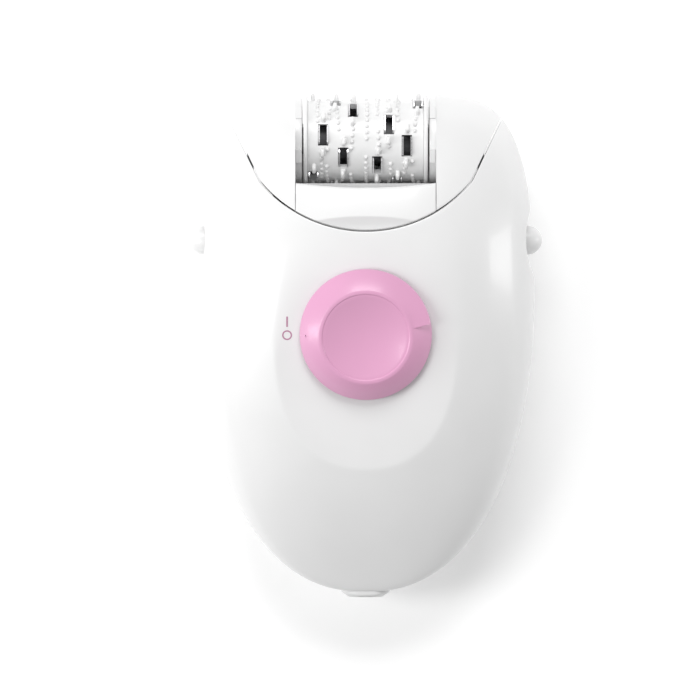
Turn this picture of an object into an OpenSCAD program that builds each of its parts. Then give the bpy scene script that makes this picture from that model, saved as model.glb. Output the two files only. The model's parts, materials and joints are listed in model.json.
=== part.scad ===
// Corded epilator lying on its back: +Z out of the front face, +Y towards the head, +X to the right.
// The origin is the middle of the flat rest pad on the back, below the centre of the dial.

/* [Body] */
// Width of the body where it is widest
body_w = 75.8; // [63:0.1:91]
// Distance from the dial centre to the foot
foot_l = 58; // [52:0.5:70]
// Distance from the dial centre to the lowest point of the head joint
neck_l = 22.85; // [21:0.05:30]
// Length of the head above the lowest point of its joint
head_l = 31.15; // [30:0.05:36]
// Place along the length where the body is widest
wide_y = 9.5; // [5:0.5:14]
// Height of the crown above the seam
crown_h = 24.2; // [23.5:0.1:29]
// Height of the seam above the rest pad
seam_z = 17; // [16:0.1:20.4]
// Thickness of the shells
wall = 2; // [1.6:0.1:2.4]
// Gap between the handle and the head
split_gap = 0.35; // [0.2:0.05:0.6]
// Thickness of the walls that face each other at the head joint
deck_t = 1.6; // [1.2:0.1:2]
// Radius of the arc of the head joint
split_r = 30.5; // [28:0.5:34]
// Half width at which the arc of the head joint turns into its straight sides
corner_x = 23.6; // [22:0.1:25]
// Lean of the straight sides of the head joint
side_lean = 25.6; // [20:0.2:30]
// Radius of the scoop around each release button
scoop_r = 16.3; // [14:0.1:19]
// Depth of the scoop around each release button
scoop_depth = 2; // [1.2:0.1:2.4]

/* [Dial] */
// Radius of the turning dial
dial_r = 14.7; // [12:0.1:17.6]
// Height of the dial above its facet
dial_h = 5.2; // [4:0.1:6.5]
// Radius of the hollowed disc in the dial
disc_r = 9.6; // [8:0.1:11]
// Tilt of the dial facet towards the foot
dial_tilt = 9; // [7:0.5:10]
// Height of the dial facet at the dial centre
facet_z = 37; // [36.4:0.1:38]
// Length of the dial lever, from the dial axis to its peg
lever_l = 13; // [11:0.5:14]
// Radius of the dial hub
hub_r = 3.4; // [3:0.1:4]

/* [Drum] */
// Radius over the ribs of the tweezer drum
tip_r = 10.7; // [10:0.05:11]
// Radius of the drum sleeve
sleeve_r = 9; // [8.4:0.1:9.6]
// Half width of the drum window
window_x = 15.7; // [15:0.1:16]
// Height of the drum axis
drum_z = 21; // [20:0.1:22]
// Width of a tweezer slot
slot_w = 2.3; // [2:0.1:2.5]
// Angle that a tweezer slot covers
slot_angle = 31; // [24:1:36]
// Radius of the drum axle
axle_r = 1.2; // [0.9:0.1:1.4]
// Travel that closes the tweezers
pinch = 1.4; // [0.5:0.1:1.5]

/* [Gears] */
// Module of the gears
gear_m = 0.6; // [0.5:0.05:0.6]
// Teeth of the motor pinion
pinion_n = 10; // [9:1:10]
// Teeth of the large wheel of the reduction gear
large_n = 22; // [20:1:22]
// Teeth of the small wheel of the reduction gear
small_n = 12; // [12:1:12]
// Teeth of the output gear
output_n = 20; // [20:1:20]
// Teeth of the idler gear
idler_n = 12; // [12:1:12]
// Teeth of the drum gear
drum_n = 16; // [16:1:16]
// Radius of the gear pins
gear_pin_r = 0.8; // [0.7:0.05:1]

/* [Motor] */
// Distance of the motor axis from the dial centre
motor_y = 8; // [7.5:0.1:8.5]
// Height of the motor axis
motor_z = 14.5; // [14:0.1:15]
// Radius of the motor can
can_r = 12; // [10:0.1:12]
// Height of the motor across its flats
can_flat = 18; // [15:0.5:18]
// Length of the motor can
can_l = 26; // [21:0.5:26]
// Radius of the motor shaft
shaft_r = 1; // [0.8:0.05:1.2]

/* [Buttons] */
// Place of the release buttons along the length
button_y = 21.1; // [20.9:0.1:21.3]
// Radius of the release buttons
button_r = 3.24; // [2.8:0.02:3.6]
// Travel of the release buttons
press = 1.5; // [1:0.1:1.5]

/* [Power inlet] */
// Radius of the contact pin
contact_r = 1; // [0.8:0.05:1.2]
// Radius of the inlet barrel
barrel_r = 2.85; // [2.6:0.05:2.9]
// Width of the inlet collar
collar_w = 11.2; // [10:0.1:13]
// Height of the inlet collar
collar_h = 8; // [8:0.1:9]

/* [Hidden] */

$fn = 64;
far = 80;              // longer than anything that a cutter has to clear
run_fit = 0.05;        // radial clearance of a shaft in its bore
loose = 0.3;           // gap between pieces that pass each other
seat_gap = 0.05;       // gap between a piece and the rib that carries it

// body
top_y = neck_l + head_l;
mid_y = (top_y - foot_l) / 2;
half_l = (top_y + foot_l) / 2;
pad_cut = 0.6;         // how far the back would bulge below the rest pad
crest_y = neck_l - 0.85;
taper = 21.25;         // how much the crown falls from its crest to the foot
section_n = 2.2;       // exponent of the superellipse sections
ring_end = 0.9985;     // share of each end's reach at which the last ring closes
split_c = [0, neck_l + split_r];
side_dir = [sin(side_lean), cos(side_lean)];
side_out = [cos(side_lean), -sin(side_lean)];
corner = [corner_x, split_c.y - sqrt(split_r * split_r - corner_x * corner_x)];

// screws
screw_r = 1.2;
screw_head_r = 2.3;
screw_head_h = 1.6;
screw_seat_z = 9.6;
screw_tip_z = 26;
boss_r = 3.2;
screw_at = [[-body_w / 2 + 10.4, 0], [body_w / 2 - 10.4, 0], [0, 22 - foot_l]];

// dial and switch, in the frame of the tilted facet
knob_lift = 0.4;
hub_flange_r = hub_r + 1.4;
hub_flange_z = -wall - loose;
lever_z = hub_flange_z - 1;
lever_t = 1.2;
peg_r = 0.9;
peg_l = 2.1;
slider_l = 4.8;
slider_w = 5;
slider_t = 1.9;
slider_z = lever_z - lever_t - loose - slider_t;
switch_t = 3.2;
switch_z = slider_z - 0.2 - switch_t;
board_t = 1.2;
board_z = switch_z - board_t;
board_x = [-lever_l - 6, 9];
board_y = [-9, 9];
dial_turn = 10;
slider_travel = lever_l * sin(dial_turn);

// drum
drum_y = top_y - tip_r + 0.1;
drum_half = 13;
end_r = 10.2;
end_t = 0.9;
ring_r = 9.6;
sleeve_t = 1.4;
core_r = 3;
plate_t = 0.3;
plate_tip_r = 9.4;
// each row is a pair of tweezer slots half a turn apart: place along the drum, angle above the front
slots = [
    [-11.7, -67], [-9.5, 7], [-6.7, 74], [-5, -27], [-2.8, 50],
    [2.6, -40], [5.2, 23], [7, -80], [9.2, -9], [11.7, 67]
];
fin_w = 0.9;
fin_angle = 14;

// gear train, all axes along X: [y, z]
addendum = 0.85;
dedendum = 1.15;
pressure = 25;
backlash = 0.12;
train_x = -20.8;       // left face of the output, idler and drum gears
train_w = 2.6;
first_x = -17.3;       // left face of the pinion and the large wheel
first_w = 2.2;
drum_at = [drum_y, drum_z];
idler_at = drum_at - [pitch_r(drum_n) + pitch_r(idler_n), 0];
output_at = idler_at - [pitch_r(idler_n) + pitch_r(output_n), 0];
motor_at = [motor_y, motor_z];
reduction_at = third_centre(motor_at, output_at,
    pitch_r(pinion_n) + pitch_r(large_n), pitch_r(small_n) + pitch_r(output_n));
idler_turn = meshed(drum_n, idler_n, drum_at, idler_at, 0);
output_turn = meshed(idler_n, output_n, idler_at, output_at, idler_turn);
small_turn = meshed(output_n, small_n, output_at, reduction_at, output_turn);
pinion_turn = meshed(large_n, pinion_n, reduction_at, motor_at, small_turn);
frame_x = -22.3;
frame_t = 1.2;
inner_x = -14.8;
inner_t = 0.9;

// motor
can_x = -can_l / 2;
can_t = 0.8;
cap_l = 2.5;
boss_motor_r = 3;
rotor_r = 7.2;

// release buttons
button_x = half_w(button_y) - 1.2;
button_z = seam_z;
scoop_x = half_w(button_y) - scoop_depth + scoop_r;
flange_r = 5.2;
flange_t = 1.2;
flange_x = scoop_x - scoop_r - wall - loose - flange_t;
arm_t = 2.4;
arm_h = 7.6;
lug_x = 25.2;
lug_t = 1.4;
lug_h = 4.8;
nose_t = 0.95;
spring_r = 1.6;
wire_r = 0.25;
spring_y = button_y - 3.9;
cradle_x = [22.6, 27];
cradle_r = spring_r + wire_r + 0.1;

// head
notch_y = top_y - 20.4;
notch_back_z = 8.6;
lip_sag = 1.1;         // how far the lip of the centre plate dips in the middle
lip_r = (window_x * window_x + lip_sag * lip_sag) / (2 * lip_sag);
plate_gap = 0.12;
plate_in = 2.4;
key_peak = 3.25;       // height of the lens-shaped key facet above the joint
key_slope = 22;
pillars = [[drum_y + 1, drum_z - 7.4], [drum_y - 4.6, drum_z + 6.6]];
pillar_r = 1.2;

// power inlet
inlet_z = seam_z - 3.6;
inlet_y = -foot_l - 1.2;
collar_l = 7;
socket_wall = 0.7;
socket_back = [10, 7, 7.4];
socket_y = -foot_l + 8;
pin_l = 8;
shank_r = contact_r - 0.25;

// ---- geometry of the outer form

function span(y, inset) = (y < wide_y ? wide_y + foot_l : top_y - wide_y) - inset;
function reach(y, inset) = min(1, abs(y - wide_y) / span(y, inset));
function half_w(y, inset = 0) = (body_w / 2 - inset) * (y < wide_y
    ? pow(1 - pow(reach(y, inset), 2.15), 1 / 2.3)
    : pow(1 - pow(reach(y, inset), 2.45), 1 / 6));
function crest(y) = crown_h - taper * pow(max(0, crest_y - y) / (crest_y + foot_l), 2.1);
function front_h(y, inset = 0) = (crest(y) - inset) * (y < wide_y
    ? pow(1 - pow(reach(y, inset), 6), 1 / 2.2)
    : pow(1 - pow(reach(y, inset), 2.45), 1 / 2));
function back_h(y, inset = 0) = (seam_z + pad_cut - inset)
    * sqrt(max(0, 1 - pow(abs(y - mid_y) / (half_l - inset), 2.6)));

function rings(n, inset) = [
    for (i = [-n : n])
        wide_y + sin(90 * i / n) * ring_end * span(i < 0 ? wide_y - 1 : wide_y + 1, inset)
];
function power(v) = sign(v) * pow(abs(v), 2 / section_n);
function section(y, inset, angles) = [
    for (a = angles)
        [
            half_w(y, inset) * power(cos(a)),
            y,
            seam_z + power(sin(a)) * (a <= 180 ? front_h(y, inset) : back_h(y, inset))
        ]
];

// Closed skin through rings of m points; faces run clockwise seen from outside
module loft(ys, inset, a0, a1, m) {
    full = a1 - a0 == 360;
    angles = [for (k = [0 : full ? m - 1 : m]) a0 + (a1 - a0) * k / m];
    w = len(angles);
    n = len(ys);
    skin = [
        for (i = [0 : n - 2], k = [0 : full ? w - 1 : w - 2])
            let (a = i * w + k, d = i * w + (k + 1) % w)
                each [[a, d, d + w], [a, d + w, a + w]]
    ];
    seam = full ? [] : [concat([for (i = [0 : n - 1]) i * w], [for (i = [n - 1 : -1 : 0]) i * w + w - 1])];
    ends = [[for (k = [w - 1 : -1 : 0]) k], [for (k = [0 : w - 1]) (n - 1) * w + k]];
    polyhedron([for (y = ys) each section(y, inset, angles)], concat(skin, seam, ends));
}

module half_egg(side, inset) {
    n = inset == 0 ? 14 : 8;
    m = inset == 0 ? 22 : 12;
    loft(rings(n, inset), inset, side > 0 ? 0 : 180, side > 0 ? 180 : 360, m);
}

module whole_egg(inset) {
    n = inset == 0 ? 14 : 8;
    m = inset == 0 ? 44 : 24;
    loft(rings(n, inset), inset, 0, 360, m);
}

// Corner of the joint outline grown by g
function grown_corner(g) = let (
    w = corner + g * side_out - split_c,
    b = w * side_dir,
    t = -b - sqrt(b * b - w * w + pow(split_r + g, 2))
) corner + g * side_out + t * side_dir;

// Everything on the head's side of the joint, grown by g
module head_space(g) {
    c = grown_corner(g);
    a = atan2(c.x, split_c.y - c.y);
    steps = 24;
    arc = [
        for (i = [0 : steps])
            let (t = a - 2 * a * i / steps)
                split_c + (split_r + g) * [sin(t), -cos(t)]
    ];
    tip = c + far * side_dir;
    translate([0, 0, -far / 2])
        linear_extrude(2 * far)
            polygon(concat([tip], arc, [[-tip.x, tip.y]]));
}

module dial_frame() {
    translate([0, 0, facet_z])
        rotate([dial_tilt, 0, 0])
            children();
}

// Everything above the dial facet raised by lift
module facet_cut(lift) {
    dial_frame()
        translate([-far, -far, lift])
            cube([2 * far, 2 * far, far]);
}

module scoop(side, grow) {
    translate([side * scoop_x, button_y, button_z])
        sphere(scoop_r + grow);
}

module along_x(x, r, l, at = [0, 0]) {
    translate([x, at[0], at[1]])
        rotate([0, 90, 0])
            cylinder(r = r, h = l);
}

module along_y(y, r, l, at = [0, 0]) {
    translate([at[0], y, at[1]])
        rotate([-90, 0, 0])
            cylinder(r = r, h = l);
}

module box(x, y, z) {
    translate([x[0], y[0], z[0]])
        cube([x[1] - x[0], y[1] - y[0], z[1] - z[0]]);
}

// Rounded bar along Y that fills the inlet collar, grown by g
module inlet_bar(y, l, g) {
    r = collar_h / 2;
    translate([0, y + l, inlet_z])
        rotate([90, 0, 0])
            linear_extrude(l) {
                square([collar_w - collar_h, collar_h + 2 * g], center = true);
                for (s = [-1, 1])
                    translate([s * (collar_w / 2 - r), 0])
                        circle(r + g);
            }
}

module board_posts() {
    dial_frame()
        for (p = [[board_x[0] + 2, board_y[0] + 1.8], [board_x[1] - 2, board_y[0] + 1.8],
                [board_x[1] - 2, board_y[1] - 1.8]])
            translate([p.x, p.y, board_z + board_t + seat_gap])
                cylinder(r = 1.4, h = -board_z);
}

module cradle(side) {
    s = side;
    z = [seam_z - far / 2, seam_z + far / 2];
    box([s > 0 ? cradle_x[0] : -cradle_x[1], s > 0 ? cradle_x[1] : -cradle_x[0]],
        [spring_y - cradle_r - 0.5, spring_y + cradle_r + 0.5], z);
}

// The hollow of one half of the handle, less the ribs and bosses that stand in it
module hollow(side) {
    difference() {
        half_egg(side, wall);
        if (side > 0) {
            facet_cut(-wall);
            board_posts();
        }
        head_space(split_gap / 2 + deck_t);
        for (s = [-1, 1]) {
            scoop(s, wall);
            cradle(s);
        }
        for (p = screw_at)
            translate([p.x, p.y, -far / 2])
                cylinder(r = boss_r, h = 2 * far);
        if (side < 0) {
            for (x = [-9, 9])
                box([x - 0.8, x + 0.8], [motor_y - 6, motor_y + 6],
                    [-1, motor_z - can_flat / 2 - seat_gap]);
            box([-20, -16], [12, 16], [-1, reduction_at[1] - 9.6 - seat_gap]);
            box([-3, 3], [socket_y + 1, socket_y + 6], [-1, inlet_z - socket_back.z / 2 - seat_gap]);
        }
    }
}

module handle_half(side) {
    difference() {
        half_egg(side, 0);
        hollow(side);
        head_space(split_gap / 2);
        for (s = [-1, 1]) {
            scoop(s, 0);
            along_x(s > 0 ? 30 : -30 - far, button_r + run_fit, far, [button_y, button_z]);
            along_x(s > 0 ? cradle_x[0] + 1 : -flange_x, cradle_r, flange_x - cradle_x[0] - 1,
                [spring_y, button_z]);
            lug_slot(s);
        }
        gear_slot();
        inlet_bar(inlet_y - 1, collar_l + 2, 0.1);
        if (side > 0) {
            facet_cut(0);
            dial_frame()
                translate([0, 0, -far / 4])
                    cylinder(r = hub_r + run_fit, h = far / 2);
            for (p = screw_at)
                translate([p.x, p.y, seam_z - 1])
                    cylinder(r = screw_r + run_fit, h = screw_tip_z + 1.5 - seam_z);
        }
        if (side < 0) {
            translate([-far, -far, -far])
                cube([2 * far, 2 * far, far]);
            for (p = screw_at) {
                translate([p.x, p.y, -1])
                    cylinder(r = screw_r + 0.15, h = seam_z + 2);
                translate([p.x, p.y, -1])
                    cylinder(r = screw_head_r + 0.2, h = screw_seat_z + 1);
            }
        }
    }
}

module lug_slot(side) {
    x = [lug_x - loose, lug_x + lug_t + loose];
    box(side > 0 ? x : [-x[1], -x[0]], [button_y + 8, corner.y + 12],
        [button_z - lug_h / 2 - loose, button_z + lug_h / 2 + loose]);
}

// Room for the gears that meet across the joint
module gear_slot() {
    h = pitch_r(output_n) + gear_m * addendum + loose;
    box([train_x - loose, train_x + train_w + loose],
        [output_at[0] - 1, idler_at[0] + pitch_r(idler_n) + gear_m],
        [drum_z - h, drum_z + h]);
}

module front_shell() {
    color("white")
        handle_half(1);
}

module rear_shell() {
    color("white")
        handle_half(-1);
}

module shell_screws() {
    color("silver")
        for (p = screw_at)
            translate([p.x, p.y, screw_seat_z - screw_head_h]) {
                difference() {
                    cylinder(r = screw_head_r, h = screw_head_h);
                    for (a = [0, 90])
                        rotate(a)
                            translate([-1.5, -0.3, -1])
                                cube([3, 0.6, 1.8]);
                }
                cylinder(r = screw_r, h = screw_tip_z - screw_seat_z + screw_head_h);
            }
}

// ---- dial and switch

module dial_knob() {
    skirt = 1.2;
    rim = 0.9;
    sag = 1.5;
    bowl_r = (disc_r * disc_r + sag * sag) / (2 * sag);
    color("plum")
        dial_frame()
            difference() {
                rotate_extrude($fn = 96)
                    polygon([
                        [0, knob_lift], [dial_r - 0.3, knob_lift], [dial_r, knob_lift + 0.3],
                        [dial_r, knob_lift + skirt], [disc_r + rim + 0.4, dial_h - 0.2],
                        [disc_r + rim, dial_h], [0, dial_h]
                    ]);
                translate([0, 0, dial_h - sag + bowl_r])
                    sphere(bowl_r, $fn = 96);
                cylinder(r = hub_r + 0.02, h = knob_lift + 2);
            }
}

module dial_hub() {
    color("gainsboro")
        dial_frame() {
            translate([0, 0, lever_z])
                cylinder(r = hub_r, h = knob_lift + 1.9 - lever_z);
            translate([0, 0, lever_z])
                cylinder(r = hub_flange_r, h = hub_flange_z - lever_z);
            translate([-lever_l, -1.5, lever_z - lever_t])
                cube([lever_l, 3, lever_t]);
            for (x = [0, -lever_l])
                translate([x, 0, lever_z - lever_t])
                    cylinder(r = x == 0 ? hub_r : 1.5, h = lever_t);
            translate([-lever_l, 0, lever_z - lever_t - peg_l])
                cylinder(r = peg_r, h = peg_l);
        }
}

module switch_slider() {
    color("black")
        dial_frame()
            translate([-lever_l, 0, slider_z])
                difference() {
                    translate([-slider_w / 2, -slider_l / 2, 0])
                        cube([slider_w, slider_l, slider_t]);
                    translate([-peg_r - 0.5, -peg_r - 0.08, -1])
                        cube([2 * peg_r + 1, 2 * peg_r + 0.16, slider_t + 2]);
                }
}

module switch_body() {
    rail = 0.8;
    side = slider_w / 2 + 0.2;
    color("dimgray")
        dial_frame()
            translate([-lever_l, slider_travel / 2, switch_z]) {
                translate([-side - rail, -slider_l / 2 - 2.2, 0])
                    cube([2 * (side + rail), slider_l + 4.4, switch_t]);
                for (x = [-side - rail, side])
                    translate([x, -slider_l / 2 - 2.2, switch_t])
                        cube([rail, slider_l + 4.4, 1.5]);
            }
}

module switch_board() {
    color("darkgreen")
        dial_frame()
            difference() {
                translate([board_x[0], board_y[0], board_z])
                    cube([board_x[1] - board_x[0], board_y[1] - board_y[0], board_t]);
                translate([board_x[0] + 2, board_y[1] - 2, board_z - 1])
                    cylinder(r = 1, h = board_t + 2);
            }
}

module board_choke() {
    color("saddlebrown")
        dial_frame()
            translate([2.4, -4, board_z + board_t + 2])
                rotate([-90, 0, 0]) {
                    cylinder(r = 1.2, h = 8);
                    for (y = [0.6 : 1 : 6.6])
                        translate([0, 0, y])
                            cylinder(r = 2, h = 0.8);
                }
}

// ---- motor

module can_form(r, flat, l) {
    rotate([0, 90, 0])
        linear_extrude(l)
            intersection() {
                circle(r);
                square([flat, 2 * r + 1], center = true);
            }
}

module at_motor(x) {
    translate([x, motor_at[0], motor_at[1]])
        children();
}

module motor_can() {
    color("silver")
        difference() {
            union() {
                at_motor(can_x)
                    can_form(can_r, can_flat, can_l);
                along_x(can_x - inner_t, boss_motor_r, inner_t + 1, motor_at);
            }
            at_motor(can_x + can_t)
                can_form(can_r - can_t, can_flat - 2 * can_t, can_l);
            along_x(can_x - 2, shaft_r + run_fit, 4, motor_at);
        }
}

module motor_magnets() {
    l = can_l - 8;
    color("dimgray")
        at_motor(can_x + 4)
            rotate([0, 90, 0])
                linear_extrude(l)
                    difference() {
                        intersection() {
                            circle(can_r - can_t - 0.05);
                            square([can_flat - 2 * can_t - 0.2, 2 * can_r], center = true);
                        }
                        circle(rotor_r + 0.4);
                        square([can_flat, 2 * rotor_r - 2], center = true);
                    }
}

module motor_end_cap() {
    color("black")
        difference() {
            union() {
                at_motor(can_x + can_l)
                    can_form(can_r, can_flat, cap_l);
                for (y = [-6, 6])
                    at_motor(can_x + can_l + cap_l)
                        translate([0, y - 1, -0.25])
                            cube([3, 2, 0.5]);
            }
            along_x(can_x + can_l - 1, shaft_r + run_fit, 3, motor_at);
        }
}

module motor_rotor() {
    back = can_x + can_l + 1.8;
    front = first_x - 0.2;
    color("peru") {
        along_x(front, shaft_r, back - front, motor_at);
        along_x(-7, rotor_r, 14, motor_at);
        along_x(-9, rotor_r - 1.2, 18, motor_at);
        along_x(9, 2.6, 3.4, motor_at);
    }
}

// ---- gears

function pitch_r(n) = gear_m * n / 2;
function involute(a) = tan(a) * 180 / PI - a;
// Half of the angle that a tooth takes at radius r
function tooth_half(n, r) = let (base = pitch_r(n) * cos(pressure))
    90 / n - backlash / 2 / pitch_r(n) * 90 / PI + involute(pressure)
    - (r > base ? involute(acos(base / r)) : 0);
function flank(n) = let (
    base = pitch_r(n) * cos(pressure),
    root = pitch_r(n) - dedendum * gear_m,
    tip = pitch_r(n) + addendum * gear_m,
    low = max(base, root)
) concat(root < base ? [root] : [], [for (i = [0 : 4]) low + (tip - low) * i / 4]);
function tooth(n, at) = let (rs = flank(n)) concat(
    [for (r = rs) r * [cos(at - tooth_half(n, r)), sin(at - tooth_half(n, r))]],
    [for (i = [len(rs) - 1 : -1 : 0]) let (r = rs[i]) r * [cos(at + tooth_half(n, r)), sin(at + tooth_half(n, r))]]
);
// Turn of gear b that sets it in mesh with gear a
function meshed(na, nb, a, b, turn_a) = let (dir = atan2(b[1] - a[1], b[0] - a[0]))
    dir + 180 - (turn_a - dir) * na / nb + 180 / nb;
// Centre at distances ra from a and rb from b, on the lower side
function third_centre(a, b, ra, rb) = let (
    d = norm(b - a),
    u = (b - a) / d,
    along = (ra * ra - rb * rb + d * d) / (2 * d),
    off = sqrt(max(0, ra * ra - along * along))
) a + along * u + off * [u[1], -u[0]];

module spur(n, x, w, at, turn, bore) {
    translate([x, at[0], at[1]])
        rotate([90, 0, 90])
            rotate(turn)
                linear_extrude(w)
                    difference() {
                        polygon([for (i = [0 : n - 1]) each tooth(n, 360 * i / n)]);
                        circle(bore);
                    }
}

module motor_pinion() {
    color("goldenrod")
        spur(pinion_n, first_x, first_w, motor_at, pinion_turn, shaft_r + 0.01);
}

module reduction_gear() {
    color("ivory") {
        spur(large_n, first_x, first_w, reduction_at, small_turn, gear_pin_r + run_fit);
        spur(small_n, train_x, first_x - train_x + 0.4, reduction_at, small_turn, gear_pin_r + run_fit);
    }
}

module output_gear() {
    color("ivory")
        spur(output_n, train_x, train_w, output_at, output_turn, gear_pin_r + run_fit);
}

module idler_gear() {
    color("ivory")
        spur(idler_n, train_x, train_w, idler_at, idler_turn, gear_pin_r + run_fit);
}

module drum_gear() {
    color("ivory")
        spur(drum_n, train_x, train_w, drum_at, 0, core_r + 0.01);
}

module reduction_pin() {
    color("silver")
        along_x(frame_x, gear_pin_r, inner_x + inner_t - frame_x, reduction_at);
}

module output_pin() {
    color("silver")
        along_x(frame_x, gear_pin_r, train_x + train_w + 0.2 - frame_x, output_at);
}

module gearbox_frame() {
    seat = gear_pin_r + 0.01;
    low = reduction_at[1] - 9.6;
    color("lightgray")
        difference() {
            union() {
                box([frame_x, frame_x + frame_t], [reduction_at[0] - 5, output_at[0] + 1.8],
                    [low, output_at[1] + 3]);
                box([inner_x, inner_x + inner_t], [motor_y - 5, reduction_at[0] + 3],
                    [low, reduction_at[1] + 3]);
                box([frame_x, inner_x + inner_t], [reduction_at[0] - 5, reduction_at[0] + 3], [low, low + 1.2]);
            }
            along_x(frame_x - 1, seat, 10, reduction_at);
            along_x(inner_x - 1, seat, 5, reduction_at);
            along_x(frame_x - 1, seat, 5, output_at);
            along_x(inner_x - 1, boss_motor_r + 0.05, 5, motor_at);
        }
}

// ---- power inlet and leads

module dc_collar() {
    color("whitesmoke")
        difference() {
            inlet_bar(inlet_y, collar_l, 0);
            along_y(inlet_y - 1, barrel_r + socket_wall + 0.02, far, [0, inlet_z]);
        }
}

module dc_socket() {
    color("black")
        difference() {
            union() {
                along_y(inlet_y + 0.4, barrel_r + socket_wall, socket_y - inlet_y, [0, inlet_z]);
                box([-socket_back.x / 2, socket_back.x / 2], [socket_y, socket_y + socket_back.y],
                    [inlet_z - socket_back.z / 2, inlet_z + socket_back.z / 2]);
            }
            along_y(inlet_y - 1, barrel_r, socket_y - inlet_y + 1, [0, inlet_z]);
            along_y(socket_y - 1, shank_r + 0.01, 6, [0, inlet_z]);
        }
}

module dc_pin() {
    color("gold") {
        along_y(socket_y - pin_l, contact_r, pin_l, [0, inlet_z]);
        along_y(socket_y - 1, shank_r, 6, [0, inlet_z]);
    }
}

function unit(v) = v / norm(v);
// Tube of radius r along a route of points
module lead(route, r) {
    n = len(route);
    sides = 8;
    ring = [
        for (i = [0 : n - 1])
            let (
                t = unit(route[min(i + 1, n - 1)] - route[max(i - 1, 0)]),
                u = unit(cross(t, abs(t.z) > 0.8 ? [1, 0, 0] : [0, 0, 1])),
                v = cross(t, u)
            )
                for (k = [0 : sides - 1])
                    route[i] + r * (u * cos(360 * k / sides) + v * sin(360 * k / sides))
    ];
    skin = [
        for (i = [0 : n - 2], k = [0 : sides - 1])
            let (a = i * sides + k, b = i * sides + (k + 1) % sides)
                each [[a, b + sides, b], [a, a + sides, b + sides]]
    ];
    polyhedron(ring, concat(skin, [[for (k = [0 : sides - 1]) k],
        [for (k = [sides - 1 : -1 : 0]) (n - 1) * sides + k]]));
}

lead_r = 0.55;
socket_end = socket_y + socket_back.y + 0.1;
power_route = [
    [2, socket_end, inlet_z], [2, socket_end + 1.5, inlet_z], [4.2, socket_end + 4.5, inlet_z + 0.5],
    [6.2, socket_end + 9, inlet_z + 2], [6.4, -25, 19.4], [5.4, -17, 21.6], [4.6, -11, 23], [4.4, -6.6, 23.8]
];
motor_route = [
    [0, -6, 0], [0.7, -5.8, 4], [-0.2, -5, 8.4], [-3.6, -3.6, 10.2], [-8, -2.6, 10.3]
];

module power_leads() {
    color("crimson")
        lead(power_route, lead_r);
    color("black")
        mirror([1, 0, 0])
            lead(power_route, lead_r);
}

module motor_leads() {
    tab = [can_x + can_l + cap_l + 2, motor_at[0], motor_at[1] + 0.25 + lead_r + 0.05];
    for (y = [-1, 1])
        color(y < 0 ? "crimson" : "black")
            lead([for (p = motor_route) tab + [p.x, y < 0 ? p.y : p.y + 12, p.z]], lead_r);
}

// ---- release buttons

module release_button(side) {
    x0 = lug_x - seat_gap - nose_t;
    x1 = lug_x + lug_t + press + loose;
    mirror([side > 0 ? 0 : 1, 0, 0])
        difference() {
            union() {
                translate([button_x, button_y, button_z])
                    sphere(button_r);
                along_x(flange_x, button_r, button_x - flange_x, [button_y, button_z]);
                along_x(flange_x, flange_r, flange_t, [button_y, button_z]);
                box([x0, flange_x + 0.5], [button_y - arm_t / 2, button_y + arm_t / 2],
                    [button_z - arm_h / 2, button_z + arm_h / 2]);
            }
            box([x0 + nose_t, x1], [button_y - arm_t, button_y + arm_t],
                [button_z - lug_h / 2 - 0.4, button_z + lug_h / 2 + 0.4]);
        }
}

module button_left() {
    color("whitesmoke")
        release_button(-1);
}

module button_right() {
    color("whitesmoke")
        release_button(1);
}

// Coil spring that rides on the button and slides into its cradle
module button_spring(side) {
    x1 = flange_x - seat_gap;
    l = x1 - cradle_x[0] - 1 - press - 0.2;
    turns = 5;
    per_turn = 12;
    mirror([side > 0 ? 0 : 1, 0, 0])
        lead([
            for (i = [0 : turns * per_turn])
                [
                    x1 - wire_r - (l - 2 * wire_r) * i / (turns * per_turn),
                    spring_y + spring_r * cos(360 * i / per_turn),
                    button_z + spring_r * sin(360 * i / per_turn)
                ]
        ], wire_r);
}

module spring_left() {
    color("silver")
        button_spring(-1);
}

module spring_right() {
    color("silver")
        button_spring(1);
}

// ---- head

module drum_notch(grow) {
    box([-window_x - grow, window_x + grow], [notch_y - grow, far], [notch_back_z - grow, far]);
    along_x(-window_x - grow, tip_r + 0.4 + grow, 2 * (window_x + grow), drum_at);
}

// Space that the centre plate fills, grown by g
module plate_space(g) {
    difference() {
        box([-window_x + 0.1 - g, window_x - 0.1 + g], [0, notch_y + 1], [seam_z + 8, far]);
        translate([0, notch_y - lip_sag + lip_r, 0])
            cylinder(r = lip_r - g, h = far, $fn = 200);
    }
}

module head_housing() {
    color("white")
        difference() {
            union() {
                difference() {
                    intersection() {
                        whole_egg(0);
                        head_space(-split_gap / 2);
                    }
                    difference() {
                        intersection() {
                            whole_egg(wall);
                            head_space(-split_gap / 2 - deck_t);
                        }
                        drum_notch(1.6);
                        for (p = pillars)
                            along_x(train_x - loose, pillar_r, far / 4 + 1, p);
                        along_x(window_x, axle_r + 1.8, 4.3, drum_at);
                    }
                    drum_notch(0);
                    plate_space(plate_gap);
                    gear_slot();
                    along_x(-window_x - 2, core_r + 0.5, 3, drum_at);
                }
                for (s = [-1, 1])
                    box(s > 0 ? [lug_x, lug_x + lug_t] : [-lug_x - lug_t, -lug_x],
                        [button_y - arm_t / 2, corner.y + 7],
                        [button_z - lug_h / 2, button_z + lug_h / 2]);
            }
            along_x(window_x - 1, axle_r + 0.01, 5, drum_at);
            along_x(-window_x - 2, gear_pin_r + 0.01, 1.8, idler_at);
        }
}

module head_front_plate() {
    peak = seam_z + front_h(neck_l + key_peak);
    color("white")
        difference() {
            intersection() {
                whole_egg(0);
                head_space(-split_gap / 2);
                plate_space(0);
            }
            whole_egg(plate_in);
            translate([0, neck_l + key_peak, peak])
                rotate([key_slope, 0, 0])
                    translate([-window_x, -far / 4, 0])
                        cube([2 * window_x, far / 4, far / 4]);
        }
}

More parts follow.
